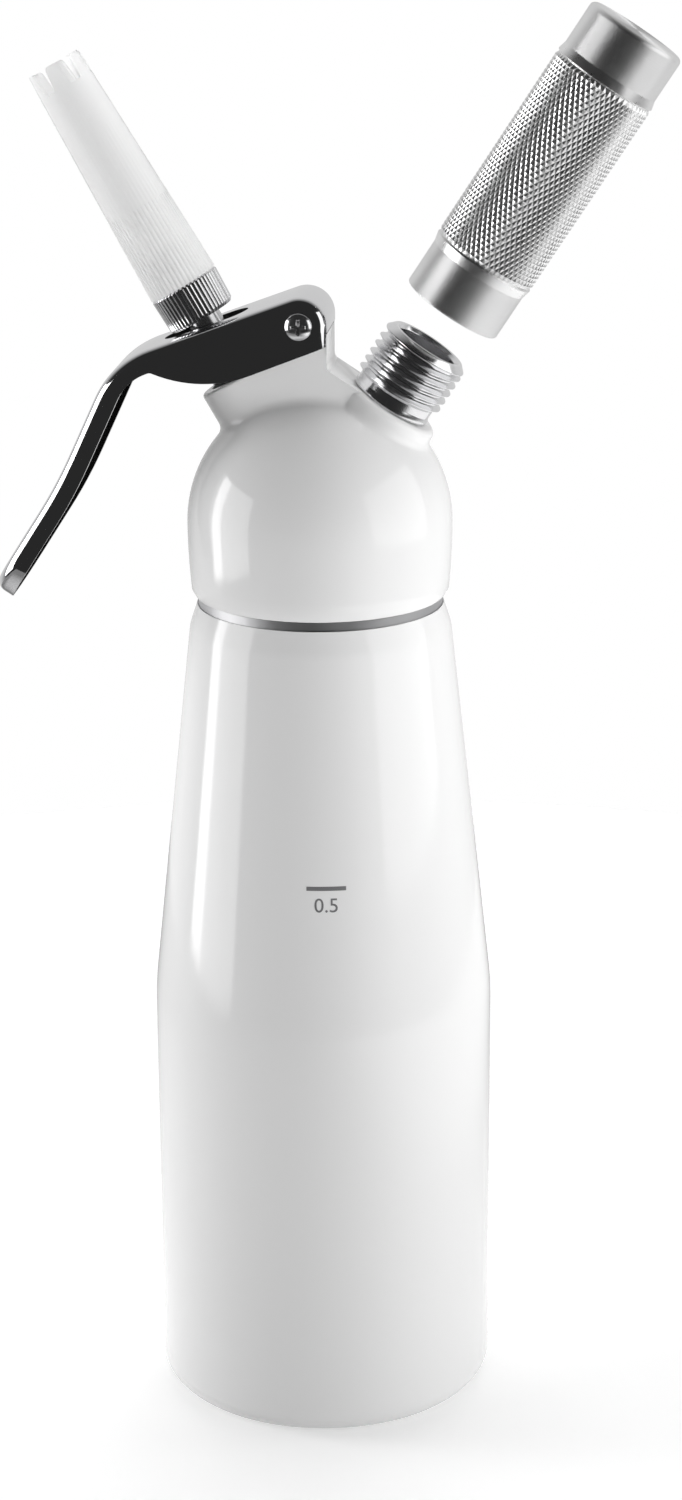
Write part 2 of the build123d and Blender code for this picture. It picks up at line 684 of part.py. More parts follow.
def make_tip_adapter():
    socket_top = STEM_TOP_AT + ADAPTER_SEAL_THICKNESS + 2 * FACE_GAP
    socket_r = STEM_R + RUNNING_GAP
    spigot_top = ADAPTER_TOP_AT + SPIGOT_LENGTH
    return on_axis(VALVE, lathe([
        (socket_r, ADAPTER_FOOT_AT),
        (ADAPTER_FOOT_R, ADAPTER_FOOT_AT, FACE_GAP * 10),
        (ADAPTER_TOP_R, ADAPTER_TOP_AT, FACE_GAP * 10),
        (SPIGOT_R, ADAPTER_TOP_AT),
        (SPIGOT_R, spigot_top, FACE_GAP * 10),
        (SPIGOT_BORE_R, spigot_top),
        (SPIGOT_BORE_R, socket_top),
        (socket_r, socket_top),
    ]))


def make_adapter_seal():
    start = STEM_TOP_AT + FACE_GAP
    return ring_along(VALVE, STEM_R, SPIGOT_BORE_R, start, start + ADAPTER_SEAL_THICKNESS)


def tip_notch(radius, mouth):
    """Notch between two teeth at a distance from the tip's axis; it widens with the distance."""
    widen = radius / TIP_MOUTH_R
    foot = widen * TIP_NOTCH_WIDTH / 2
    side = foot + widen * TIP_NOTCH_FLARE
    flare = side + widen * TIP_TOOTH_ROUND
    top = TIP_NOTCH_DEPTH + TIP_TOOTH_LIFT
    shoulder = top - widen * TIP_TOOTH_ROUND
    past = top + CUT_PAST
    section = make_face(Curve() + [
        Line((-foot, 0), (foot, 0)),
        Line((foot, 0), (side, shoulder)),
        RadiusArc((side, shoulder), (flare, top), widen * TIP_TOOTH_ROUND),
        Line((flare, top), (flare, past)),
        Line((flare, past), (-flare, past)),
        Line((-flare, past), (-flare, top)),
        RadiusArc((-flare, top), (-side, shoulder), widen * TIP_TOOTH_ROUND),
        Line((-side, shoulder), (-foot, 0)),
    ])
    return Plane(origin=(radius, 0, mouth - TIP_NOTCH_DEPTH), x_dir=(0, 1, 0), z_dir=(1, 0, 0)) * section


def make_decorating_tip():
    foot = ADAPTER_TOP_AT + FACE_GAP
    mouth = foot + TIP_LENGTH
    socket_r = SPIGOT_R + RUNNING_GAP
    socket_top = ADAPTER_TOP_AT + SPIGOT_LENGTH + TIP_SOCKET_SPARE
    blank = lathe([
        (socket_r, foot),
        (TIP_FOOT_R, foot),
        (TIP_MOUTH_R, mouth),
        (TIP_MOUTH_R - TIP_WALL, mouth),
        (TIP_THROAT_R, socket_top),
        (socket_r, socket_top),
    ])
    inner_r = TIP_MOUTH_R - 2 * TIP_WALL
    cutter = loft([tip_notch(inner_r, mouth), tip_notch(TIP_FOOT_R, mouth)], ruled=True)
    turns = [TIP_NOTCH_TURN + 360 * tooth / TIP_TEETH for tooth in range(TIP_TEETH)]
    return on_axis(VALVE, blank - [Rot(0, 0, turn) * cutter for turn in turns])


# Charger port


PIN_FLANGE_AT = PORT_RECESS_FLOOR_AT + FACE_GAP
CHARGER_SEAL_AT = PIN_FLANGE_AT + PIN_FLANGE_THICKNESS + FACE_GAP
PIN_SHANK_END_AT = PORT_SHANK_END_AT + PIN_SHANK_INSET


def make_charger_port():
    pin_bore = PIN_SHANK_R + RUNNING_GAP
    sleeve_bore = PIN_SHANK_R + CHECK_SLEEVE_WALL + 4 * RUNNING_GAP
    sleeve_top = PIN_SHANK_END_AT + CHECK_SLEEVE_LENGTH + RUNNING_GAP
    neck_top = PORT_SEAT_AT + PORT_NECK_LENGTH
    return on_axis(PORT, lathe([
        (sleeve_bore, PORT_SHANK_END_AT),
        (PORT_SHANK_R, PORT_SHANK_END_AT),
        (PORT_SHANK_R, PORT_SEAT_AT + FACE_GAP),
        (PORT_NECK_R, PORT_SEAT_AT + FACE_GAP),
        (PORT_NECK_R, neck_top),
        (PORT_THREAD_R, neck_top + PORT_THREAD_R - PORT_NECK_R),
        (PORT_THREAD_R, PORT_TOP_AT - PORT_TOP_CHAMFER),
        (PORT_THREAD_R - PORT_TOP_CHAMFER, PORT_TOP_AT),
        (PORT_RECESS_R, PORT_TOP_AT, PORT_TOP_CHAMFER / 2),
        (PORT_RECESS_R, PORT_RECESS_FLOOR_AT),
        (pin_bore, PORT_RECESS_FLOOR_AT),
        (pin_bore, sleeve_top),
        (sleeve_bore, sleeve_top),
    ]))


def make_port_seal():
    top = PORT_SEAT_AT
    return ring_along(PORT, PORT_SEAL_R, PORT_SHANK_R + RUNNING_GAP, top - PORT_SEAL_THICKNESS, top)


def make_piercing_pin():
    flange_top = PIN_FLANGE_AT + PIN_FLANGE_THICKNESS
    point = CHARGER_SEAL_AT + CHARGER_SEAL_THICKNESS + PIN_TIP_ABOVE_SEAL
    taper = point - PIN_TIP_ABOVE_SEAL / 2
    return on_axis(PORT, lathe([
        (PIN_BORE_R, PIN_SHANK_END_AT),
        (PIN_SHANK_R, PIN_SHANK_END_AT),
        (PIN_SHANK_R, PIN_FLANGE_AT),
        (PIN_FLANGE_R, PIN_FLANGE_AT),
        (PIN_FLANGE_R, flange_top),
        (PIN_NEEDLE_R, flange_top),
        (PIN_NEEDLE_R, taper),
        (PIN_BORE_R + PIN_TIP_R, point),
        (PIN_BORE_R, point),
    ]))


def make_charger_seal():
    top = CHARGER_SEAL_AT + CHARGER_SEAL_THICKNESS
    return ring_along(PORT, PORT_RECESS_R - RUNNING_GAP, PIN_NEEDLE_R + RUNNING_GAP, CHARGER_SEAL_AT, top)


def make_check_sleeve():
    inner_r = PIN_SHANK_R + RUNNING_GAP
    start = PIN_SHANK_END_AT
    return ring_along(PORT, inner_r + CHECK_SLEEVE_WALL, inner_r, start, start + CHECK_SLEEVE_LENGTH)


# Charger holder


HOLDER_POCKET_FLOOR = HOLDER_LENGTH - HOLDER_END_WALL
HOLDER_FLOOR = HOLDER_POCKET_FLOOR - HOLDER_PAD_THICKNESS - 2 * FACE_GAP


def make_charger_holder():
    cone = HOLDER_END_LENGTH + HOLDER_CONE_LENGTH
    pocket_r = HOLDER_PAD_R + RUNNING_GAP
    cup = lathe([
        (THREAD_BORE_R, 0),
        (HOLDER_END_R, 0, HOLDER_EDGE_R / 2),
        (HOLDER_END_R, HOLDER_END_LENGTH),
        (HOLDER_GRIP_R, cone),
        (HOLDER_GRIP_R, HOLDER_LENGTH - cone),
        (HOLDER_END_R, HOLDER_LENGTH - HOLDER_END_LENGTH),
        (HOLDER_END_R, HOLDER_LENGTH, HOLDER_EDGE_R),
        (0, HOLDER_LENGTH),
        (0, HOLDER_POCKET_FLOOR),
        (pocket_r, HOLDER_POCKET_FLOOR),
        (pocket_r, HOLDER_FLOOR),
        (HOLDER_BORE_R, HOLDER_FLOOR),
        (HOLDER_BORE_R, HOLDER_THREAD_DEPTH),
        (THREAD_BORE_R, HOLDER_THREAD_DEPTH),
    ])
    return on_axis(PORT, Pos(0, 0, HOLDER_MOUTH_AT) * cup)


def make_holder_pad():
    top = HOLDER_MOUTH_AT + HOLDER_POCKET_FLOOR - FACE_GAP
    return cylinder_along(PORT, HOLDER_PAD_R, top - HOLDER_PAD_THICKNESS, top)


PIECES = {
    "bottle": make_bottle,
    "head": make_head,
    "head_gasket": make_head_gasket,
    "lever": make_lever,
    "pivot_sleeve": make_pivot_sleeve,
    "pivot_screw": make_pivot_screw,
    "valve_stem": make_valve_stem,
    "stem_o_ring": make_stem_o_ring,
    "poppet_gasket": make_poppet_gasket,
    "stem_collar": make_stem_collar,
    "valve_spring": make_valve_spring,
    "tip_adapter": make_tip_adapter,
    "adapter_seal": make_adapter_seal,
    "decorating_tip": make_decorating_tip,
    "charger_port": make_charger_port,
    "port_seal": make_port_seal,
    "piercing_pin": make_piercing_pin,
    "charger_seal": make_charger_seal,
    "check_sleeve": make_check_sleeve,
    "charger_holder": make_charger_holder,
    "holder_pad": make_holder_pad,
}

os.makedirs("parts", exist_ok=True)
for name, make in PIECES.items():
    piece = make()
    export_step(piece, f"parts/{name}.step")
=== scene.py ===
"""Looks of the half-litre cream whipper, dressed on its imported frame. Metres, +Z up."""

import math

import bmesh
import bpy
from mathutils import Matrix, Vector


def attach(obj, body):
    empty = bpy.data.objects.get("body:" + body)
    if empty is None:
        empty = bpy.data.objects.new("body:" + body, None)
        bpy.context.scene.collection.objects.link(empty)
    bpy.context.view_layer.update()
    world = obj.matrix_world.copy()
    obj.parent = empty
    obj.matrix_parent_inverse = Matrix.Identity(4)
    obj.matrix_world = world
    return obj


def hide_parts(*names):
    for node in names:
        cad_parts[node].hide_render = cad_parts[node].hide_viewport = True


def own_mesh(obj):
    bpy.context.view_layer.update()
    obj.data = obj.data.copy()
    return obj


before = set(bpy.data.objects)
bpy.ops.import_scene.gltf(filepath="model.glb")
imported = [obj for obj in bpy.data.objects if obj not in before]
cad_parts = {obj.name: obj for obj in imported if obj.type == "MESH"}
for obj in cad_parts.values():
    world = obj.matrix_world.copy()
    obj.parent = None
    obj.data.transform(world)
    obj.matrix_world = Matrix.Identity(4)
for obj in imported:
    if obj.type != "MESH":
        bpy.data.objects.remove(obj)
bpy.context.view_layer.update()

MM = 0.001
FULL_TURN = 2 * math.pi
UP = Vector((0, 0, 1))

# Leaning frames of the valve and of the charger port
VALVE = Matrix.Translation((0, 0, 0.2117)) @ Matrix.Rotation(math.radians(-30.0), 4, "Y")
PORT = Matrix.Translation((-0.0012, 0, 0.2117)) @ Matrix.Rotation(math.radians(33.2), 4, "Y")
UPRIGHT = Matrix.Identity(4)
FACE_FRONT = Matrix.Rotation(math.pi / 2, 4, "X")     # turns what faces +Z to face -Y


# Shader nodes


def map_range(tree, value, given, wanted):
    """Carries a value from one range to another and holds it at both ends."""
    node = tree.nodes.new("ShaderNodeMapRange")
    node.inputs["From Min"].default_value, node.inputs["From Max"].default_value = given
    node.inputs["To Min"].default_value, node.inputs["To Max"].default_value = wanted
    tree.links.new(value, node.inputs["Value"])
    return node.outputs["Result"]


def combine(tree, operation, first, second):
    node = tree.nodes.new("ShaderNodeMath")
    node.operation = operation
    tree.links.new(first, node.inputs[0])
    tree.links.new(second, node.inputs[1])
    return node.outputs["Value"]


def split(tree, vector):
    node = tree.nodes.new("ShaderNodeSeparateXYZ")
    tree.links.new(vector, node.inputs["Vector"])
    return node.outputs


def axis_distance(tree, vector):
    """Distance from the z axis of the vector's frame."""
    flat = tree.nodes.new("ShaderNodeVectorMath")
    flat.operation = "MULTIPLY"
    flat.inputs[1].default_value = (1.0, 1.0, 0.0)
    tree.links.new(vector, flat.inputs[0])
    length = tree.nodes.new("ShaderNodeVectorMath")
    length.operation = "LENGTH"
    tree.links.new(flat.outputs["Vector"], length.inputs[0])
    return length.outputs["Value"]


# Shared shader effects


def new_group(name, inputs, outputs):
    group = bpy.data.node_groups.new(name, "ShaderNodeTree")
    for label, kind, value in inputs:
        socket = group.interface.new_socket(label, in_out="INPUT", socket_type=kind)
        if value is not None:
            socket.default_value = value
    for label, kind in outputs:
        group.interface.new_socket(label, in_out="OUTPUT", socket_type=kind)
    come = group.nodes.new("NodeGroupInput")
    go = group.nodes.new("NodeGroupOutput")
    return group, come, go


def make_handling_group():
    """Mask of faint smears and fine specks, as handled metal and paint have."""
    group, come, go = new_group(
        "handling",
        [("Vector", "NodeSocketVector", None), ("Scale", "NodeSocketFloat", 40.0),
         ("Low", "NodeSocketFloat", 0.1), ("High", "NodeSocketFloat", 0.2)],
        [("Roughness", "NodeSocketFloat"), ("Height", "NodeSocketFloat")])
    nodes, links = group.nodes, group.links
    smear = nodes.new("ShaderNodeTexNoise")
    smear.inputs["Detail"].default_value = 6.0
    smear.inputs["Roughness"].default_value = 0.65
    links.new(come.outputs["Vector"], smear.inputs["Vector"])
    links.new(come.outputs["Scale"], smear.inputs["Scale"])
    spread = nodes.new("ShaderNodeMapRange")
    spread.inputs["From Min"].default_value = 0.35
    spread.inputs["From Max"].default_value = 0.7
    links.new(smear.outputs["Fac"], spread.inputs["Value"])
    links.new(come.outputs["Low"], spread.inputs["To Min"])
    links.new(come.outputs["High"], spread.inputs["To Max"])
    links.new(spread.outputs["Result"], go.inputs["Roughness"])
    links.new(smear.outputs["Fac"], go.inputs["Height"])
    return group


def make_turning_group():
    """Fine rings left by a lathe, round the z axis of the vector that comes in."""
    group, come, go = new_group(
        "turning",
        [("Vector", "NodeSocketVector", None), ("Rings", "NodeSocketFloat", 2500.0)],
        [("Height", "NodeSocketFloat")])
    height = split(group, come.outputs["Vector"])["Z"]
    along = combine(group, "MULTIPLY", height, come.outputs["Rings"])
    ring = group.nodes.new("ShaderNodeTexNoise")
    ring.noise_dimensions = "1D"
    ring.inputs["Scale"].default_value = 1.0
    ring.inputs["Detail"].default_value = 3.0
    group.links.new(along, ring.inputs["W"])
    group.links.new(ring.outputs["Fac"], go.inputs["Height"])
    return group


HANDLING = make_handling_group()
TURNING = make_turning_group()


# Materials


def new_material(name, color, metallic, roughness):
    """Principled material; plain values that are linked later serve viewers that read no nodes."""
    material = bpy.data.materials.new(name)
    material.use_nodes = True
    shader = material.node_tree.nodes["Principled BSDF"]
    shader.inputs["Base Color"].default_value = (*color, 1)
    shader.inputs["Metallic"].default_value = metallic
    shader.inputs["Roughness"].default_value = roughness
    return material, shader


def object_vector(material, place=UPRIGHT):
    """Object coordinates, seen from a leaning frame."""
    nodes, links = material.node_tree.nodes, material.node_tree.links
    coordinates = nodes.new("ShaderNodeTexCoord")
    mapping = nodes.new("ShaderNodeMapping")
    inverse = place.inverted()
    mapping.inputs["Location"].default_value = inverse.translation
    mapping.inputs["Rotation"].default_value = inverse.to_euler()
    links.new(coordinates.outputs["Object"], mapping.inputs["Vector"])
    return mapping.outputs["Vector"]


def add_relief(material, shader, height, distance):
    nodes, links = material.node_tree.nodes, material.node_tree.links
    bump = nodes.new("ShaderNodeBump")
    bump.inputs["Strength"].default_value = 1.0
    bump.inputs["Distance"].default_value = distance
    links.new(height, bump.inputs["Height"])
    links.new(bump.outputs["Normal"], shader.inputs["Normal"])


def add_handling(material, shader, vector, scale, low, high, relief=0.0):
    """Roughness between low and high, and a relief of that depth in metres if there is one."""
    nodes, links = material.node_tree.nodes, material.node_tree.links
    effect = nodes.new("ShaderNodeGroup")
    effect.node_tree = HANDLING
    effect.inputs["Scale"].default_value = scale
    effect.inputs["Low"].default_value = low
    effect.inputs["High"].default_value = high
    links.new(vector, effect.inputs["Vector"])
    links.new(effect.outputs["Roughness"], shader.inputs["Roughness"])
    if relief:
        add_relief(material, shader, effect.outputs["Height"], relief)


def handled(name, color, metallic, roughness, scale, low, high, relief=0.0):
    """Plain material with no marks but those of handling."""
    material, shader = new_material(name, color, metallic, roughness)
    add_handling(material, shader, object_vector(material), scale, low, high, relief)
    return material


def satin_aluminium():
    """Turned metal that blurs reflections along the holder's axis."""
    material, shader = new_material("satin_aluminium", (0.95, 0.95, 0.95), 1.0, 0.3)
    vector = object_vector(material, PORT)
    nodes, links = material.node_tree.nodes, material.node_tree.links
    rings = nodes.new("ShaderNodeGroup")
    rings.node_tree = TURNING
    rings.inputs["Rings"].default_value = 4000.0
    links.new(vector, rings.inputs["Vector"])
    add_handling(material, shader, vector, scale=90.0, low=0.42, high=0.5)
    add_relief(material, shader, rings.outputs["Height"], 0.000015)
    shader.inputs["Anisotropic"].default_value = 0.88
    along = nodes.new("ShaderNodeVectorTransform")
    along.vector_type = "VECTOR"
    along.convert_from = "OBJECT"
    along.convert_to = "WORLD"
    along.inputs["Vector"].default_value = PORT.to_3x3() @ UP
    links.new(along.outputs["Vector"], shader.inputs["Tangent"])
    return material


# Where light scattered in the tip's plastic is painted on as a glow: radii of its inside, and
# lengths of its axis at mouth and foot
PAINTED_GLOW_INSIDE = (5.4 * MM, 5.8 * MM)
PAINTED_GLOW_MOUTH = (108.5 * MM, 111.0 * MM)
PAINTED_GLOW_FOOT = (62.0 * MM, 80.0 * MM)


def milky_plastic():
    material, shader = new_material("milky_plastic", (0.95, 0.95, 0.95), 0.0, 0.4)
    shader.inputs["Transmission Weight"].default_value = 0.36
    shader.inputs["IOR"].default_value = 1.2
    vector = object_vector(material, VALVE)
    add_handling(material, shader, vector, scale=220.0, low=0.34, high=0.44)
    tree = material.node_tree
    # Painted shade: where the wall is seen edge-on, along its thickness, the base colour is
    # darkened
    rim = tree.nodes.new("ShaderNodeLayerWeight")
    rim.inputs["Blend"].default_value = 0.5
    rim_shade = map_range(tree, rim.outputs["Facing"], (0.72, 1.0), (0.95, 0.48))
    tree.links.new(rim_shade, shader.inputs["Base Color"])
    # Painted light: light scattered in the wall is painted on as a faint emission glow of the
    # inside, most of all at the thin mouth, and the foot too, where the wall is thickest
    along = split(tree, vector)["Z"]
    inside = map_range(tree, axis_distance(tree, vector), PAINTED_GLOW_INSIDE, (0.1, 0.0))
    mouth = map_range(tree, along, PAINTED_GLOW_MOUTH, (0.6, 1.0))
    foot = map_range(tree, along, PAINTED_GLOW_FOOT, (0.05, 0.0))
    painted_glow = combine(tree, "ADD", combine(tree, "MULTIPLY", inside, mouth), foot)
    tree.links.new(painted_glow, shader.inputs["Emission Color"])
    shader.inputs["Emission Strength"].default_value = 1.0
    return material


# Colour, metallic, plain roughness, scale of the smears, and least and most roughness
ENAMEL = handled("white_enamel", (0.86, 0.86, 0.86), 0.0, 0.2, 320.0, 0.07, 0.12, relief=0.000004)
POLISHED = handled("polished_chrome", (0.80, 0.80, 0.81), 1.0, 0.07, 60.0, 0.05, 0.1)
CHROME = handled("turned_chrome", (0.84, 0.84, 0.85), 1.0, 0.16, 150.0, 0.12, 0.22)
SATIN = satin_aluminium()
KNURLED = handled("knurled_aluminium", (0.95, 0.95, 0.95), 1.0, 0.3, 300.0, 0.26, 0.36)
BARE = handled("bare_aluminium", (0.55, 0.55, 0.56), 1.0, 0.45, 200.0, 0.4, 0.52)
STEEL = handled("stainless_steel", (0.66, 0.66, 0.67), 1.0, 0.25, 200.0, 0.18, 0.3)
# Near-black steel for the lever's inside: painted shade where the channel lies in shadow, not a
# finish of the metal
LEVER_INSIDE_SHADE = handled("steel_painted_shade", (0.06, 0.06, 0.06), 1.0, 0.35, 200.0, 0.3, 0.42)
MILKY = milky_plastic()
RUBBER = handled("black_rubber", (0.03, 0.03, 0.032), 0.0, 0.6, 300.0, 0.5, 0.7)
INK = handled("grey_ink", (0.18, 0.18, 0.185), 0.0, 0.45, 800.0, 0.4, 0.5)


# Modelling helpers

ROUND_STEPS = 8             # faces across a rounded right angle


def add_profile(bm, corners):
    """Polyline of (radius, height, rounding) in millimetres, in the XZ plane; gives its edges."""
    points = [Vector((corner[0] * MM, 0, corner[1] * MM)) for corner in corners]
    verts = [bm.verts.new(point) for point in points]
    for pair in zip(verts, verts[1:]):
        bm.edges.new(pair)
    for place, corner in enumerate(corners):
        if len(corner) < 3:
            continue
        before = points[place - 1] - points[place]
        after = points[place + 1] - points[place]
        half_turn = (math.pi - before.angle(after)) / 2
        steps = max(2, math.ceil(ROUND_STEPS * half_turn / (math.pi / 4)))
        cut = corner[2] * MM * math.tan(half_turn)
        bmesh.ops.bevel(
            bm, geom=[verts[place]], offset=cut, offset_type="OFFSET", affect="VERTICES",
            segments=steps, profile=0.5, material=-1)
    return [edge for edge in bm.edges if edge.is_wire]


def close_up(bm, reach=1e-6):
    bmesh.ops.remove_doubles(bm, verts=bm.verts[:], dist=reach)
    bmesh.ops.recalc_face_normals(bm, faces=bm.faces[:])


def turned(corners, steps):
    """Profile turned about Z and closed."""
    bm = bmesh.new()
    wires = add_profile(bm, corners)
    verts = list({vert for edge in wires for vert in edge.verts})
    bmesh.ops.spin(
        bm, geom=wires + verts, cent=(0, 0, 0), axis=UP, angle=FULL_TURN, steps=steps,
        use_merge=True, use_duplicate=False)
    close_up(bm)
    return bm


def grow_rings(bm, columns, radius, heights):
    """Tube about Z through rings at these heights, in millimetres; gives each ring's vertices."""
    first = bmesh.ops.create_circle(bm, segments=columns, radius=radius * MM, cap_ends=False)
    bmesh.ops.translate(bm, vec=(0, 0, heights[0] * MM), verts=first["verts"])
    rings = [first["verts"]]
    for height in heights[1:]:
        last = set(rings[-1])
        edges = {edge for vert in last for edge in vert.link_edges if last.issuperset(edge.verts)}
        grown = bmesh.ops.extrude_edge_only(bm, edges=list(edges))["geom"]
        verts = [part for part in grown if isinstance(part, bmesh.types.BMVert)]
        bmesh.ops.translate(bm, vec=(0, 0, height * MM - verts[0].co.z), verts=verts)
        rings.append(verts)
    return rings


def column_of(vert, columns):
    return round(math.atan2(vert.co.y, vert.co.x) / FULL_TURN * columns)


def add_mesh_of(bm, other):
    """Puts the faces of another mesh into this one and frees the other."""
    mesh = bpy.data.meshes.new("joined")
    other.to_mesh(mesh)
    other.free()
    bm.from_mesh(mesh)
    bpy.data.meshes.remove(mesh)


# A thread's flanks: places across half its pitch to both sides
THREAD_SPREAD = [
    -1.0, -0.8, -0.6, -0.42, -0.26, -0.14, -0.05, 0.05, 0.14, 0.26, 0.42, 0.6, 0.8, 1.0]
THREAD_HOLLOW = 1.5         # power of the rise; 1 would make straight flanks
THREAD_RUN_OUT = 0.22       # of a turn, at both ends of a thread


def add_thread(bm, root_r, crest_r, pitch, start, turns, steps_per_turn=72):
    """Right-handed screw ridge about Z, in millimetres, that runs out at both ends."""
    thread = bmesh.new()
    verts = []
    for place in THREAD_SPREAD:
        rise = (1.0 - abs(place)) ** THREAD_HOLLOW
        radius = root_r + (crest_r - root_r) * rise
        verts.append(thread.verts.new((radius * MM, 0, (start + place * pitch / 2) * MM)))
    edges = [thread.edges.new(pair) for pair in zip(verts, verts[1:])]
    steps = round(steps_per_turn * turns)
    bmesh.ops.spin(
        thread, geom=verts + edges, cent=(0, 0, 0), axis=UP, angle=FULL_TURN * turns, steps=steps,
        dvec=(0, 0, pitch * turns / steps * MM), use_merge=False, use_duplicate=False)
    for vert in thread.verts:
        part_turn = (math.atan2(vert.co.y, vert.co.x) / FULL_TURN) % 1.0
        whole_turns = round((vert.co.z / MM - start) / pitch - part_turn)
        turned_by = whole_turns + part_turn
        from_end = min(turned_by, turns - turned_by)
        fade = max(0.0, min(1.0, from_end / THREAD_RUN_OUT))
        radius = math.hypot(vert.co.x, vert.co.y)
        wanted = root_r * MM + (radius - root_r * MM) * fade
        vert.co.x *= wanted / radius
        vert.co.y *= wanted / radius
    bmesh.ops.recalc_face_normals(thread, faces=thread.faces[:])
    add_mesh_of(bm, thread)


def smooth(obj, angle):
    """Soft shading, with hard edges kept where faces meet at more than the angle."""
    mesh = obj.data
    mesh.shade_smooth()
    mesh.set_sharp_from_angle(angle=math.radians(angle))


def add_piece(name, bm, place, body, material, nodes=(), angle=35.0):
    """Finishes a mesh as one piece that rides on a body of the frame."""
    bm.transform(place)
    mesh = bpy.data.meshes.new(name)
    bm.to_mesh(mesh)
    bm.free()
    obj = bpy.data.objects.new(name, mesh)
    bpy.context.scene.collection.objects.link(obj)
    mesh.materials.append(material)
    smooth(obj, angle)
    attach(obj, body)
    if nodes:
        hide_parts(*nodes)
    return obj


def finished_copy(name, node, body, material, edge_mm, angle=35.0):
    """Copy of a plain CAD node with its edges broken by a small round."""
    bm = bmesh.new()
    bm.from_mesh(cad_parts[node].data)
    bm.transform(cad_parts[node].matrix_world)
    close_up(bm, 2e-6)
    obj = add_piece(name, bm, UPRIGHT, body, material, (node,), angle)
    edge = obj.modifiers.new("broken_edge", "BEVEL")
    edge.width = edge_mm * MM
    edge.segments = 2
    edge.limit_method = "ANGLE"
    edge.angle_limit = math.radians(angle)
    edge.harden_normals = True
    return obj


# Bottle

BOTTLE_R, SHOULDER_R = 39.5, 29.85
TAPER_START, TAPER_END = 99.3, 186.7
BARE_FROM = 191.9           # height where the paint ends
INSIDE_R, INSIDE_FLOOR = 37.9, 3.0
NECK_R, NECK_BORE_R, NECK_TOP = 25.0, 22.6, 207.1
BOTTLE_PROFILE = [
    (0, 0), (BOTTLE_R, 0, 5.0), (BOTTLE_R, TAPER_START, 60.0), (SHOULDER_R, TAPER_END, 9.0),
    (28.1, BARE_FROM), (27.8, BARE_FROM), (27.8, 193.9), (NECK_R, 193.9), (NECK_R, 206.3),
    (24.2, NECK_TOP), (NECK_BORE_R, NECK_TOP, 0.6), (NECK_BORE_R, BARE_FROM, 4.5),
    (28.67, 182.9, 4.5), (INSIDE_R, TAPER_START, 60.0), (INSIDE_R, INSIDE_FLOOR, 3.4),
    (0, INSIDE_FLOOR)]


def bottle():
    bm = turned(BOTTLE_PROFILE, 160)
    add_thread(
        bm, root_r=24.95, crest_r=25.85, pitch=2.8, start=196.9, turns=3.0, steps_per_turn=120)
    obj = add_piece("bottle_shell", bm, UPRIGHT, "bottle", ENAMEL, ("bottle",), 30.0)
    obj.data.materials.append(BARE)
    for face in obj.data.polygons:
        height = face.center.z / MM
        inward = face.normal.x * face.center.x + face.normal.y * face.center.y < 0
        inside = INSIDE_FLOOR - 0.1 < height < BARE_FROM - 0.2 and inward
        if inside or height > BARE_FROM - 0.01:
            face.material_index = 1


# Fill mark

FILL_LINE, FILL_LINE_HEIGHT = (8.9, 0.95), 134.7
FILL_NUMBER_SIZE, FILL_NUMBER_HEIGHT = 4.6, 130.7
FILL_TURN = 7.3             # degrees round the bottle, from its front
INK_LIFT = 0.03             # off the paint


def bottle_radius(height):
    rise = max(0.0, height - TAPER_START)
    return BOTTLE_R - rise * (BOTTLE_R - SHOULDER_R) / (TAPER_END - TAPER_START)


def wrap_on_bottle(bm):
    """Bends flat work, drawn in X and Z, round the bottle."""
    for vert in bm.verts:
        radius = (bottle_radius(vert.co.z / MM) + INK_LIFT) * MM
        angle = vert.co.x / radius + math.radians(FILL_TURN) - math.pi / 2
        vert.co.x = radius * math.cos(angle)
        vert.co.y = radius * math.sin(angle)


def flat_number():
    text = bpy.data.curves.new("fill_number", "FONT")
    text.body = "0.5"
    text.size = FILL_NUMBER_SIZE * MM
    text.align_x = "CENTER"
    text.align_y = "CENTER"
    text.resolution_u = 6
    writing = bpy.data.objects.new("fill_number", text)
    bpy.context.scene.collection.objects.link(writing)
    bpy.context.view_layer.update()
    evaluated = writing.evaluated_get(bpy.context.evaluated_depsgraph_get())
    drawn = bpy.data.meshes.new_from_object(evaluated)
    bpy.data.objects.remove(writing)
    number = bmesh.new()
    number.from_mesh(drawn)
    bpy.data.meshes.remove(drawn)
    return number


def fill_mark():
    """Fill line with a plain number below it."""
    bm = bmesh.new()
    bmesh.ops.create_grid(bm, x_segments=12, y_segments=1, size=0.5)
    bmesh.ops.scale(bm, vec=(FILL_LINE[0] * MM, FILL_LINE[1] * MM, 1), verts=bm.verts[:])
    bm.transform(Matrix.Translation((0, 0, FILL_LINE_HEIGHT * MM)) @ FACE_FRONT)
    number = flat_number()
    number.transform(Matrix.Translation((0, 0, FILL_NUMBER_HEIGHT * MM)) @ FACE_FRONT)
    add_mesh_of(bm, number)
    wrap_on_bottle(bm)
    bmesh.ops.recalc_face_normals(bm, faces=bm.faces[:])
    add_piece("fill_mark", bm, UPRIGHT, "bottle", INK)


# Lever

LEVER_INSIDE_HALF = 9.45                    # half the width between the flanges
LEVER_INWARD = Vector((0.66, 0, -0.75))     # off the web, to the inside


def lever():
    """Polished channel whose inside is painted near black, as painted shade."""
    obj = finished_copy("lever_channel", "lever", "lever", POLISHED, 0.2, 30.0)
    obj.data.materials.append(LEVER_INSIDE_SHADE)
    # Faces inside the channel take the painted shade
    for face in obj.data.polygons:
        under_web = face.normal.dot(LEVER_INWARD) > 0.5 and face.center.x < 0
        between = face.normal.y * face.center.y < -0.3 * abs(face.center.y)
        if (under_web or between) and abs(face.center.y) < LEVER_INSIDE_HALF * MM:
            face.material_index = 1


# Pivot screw

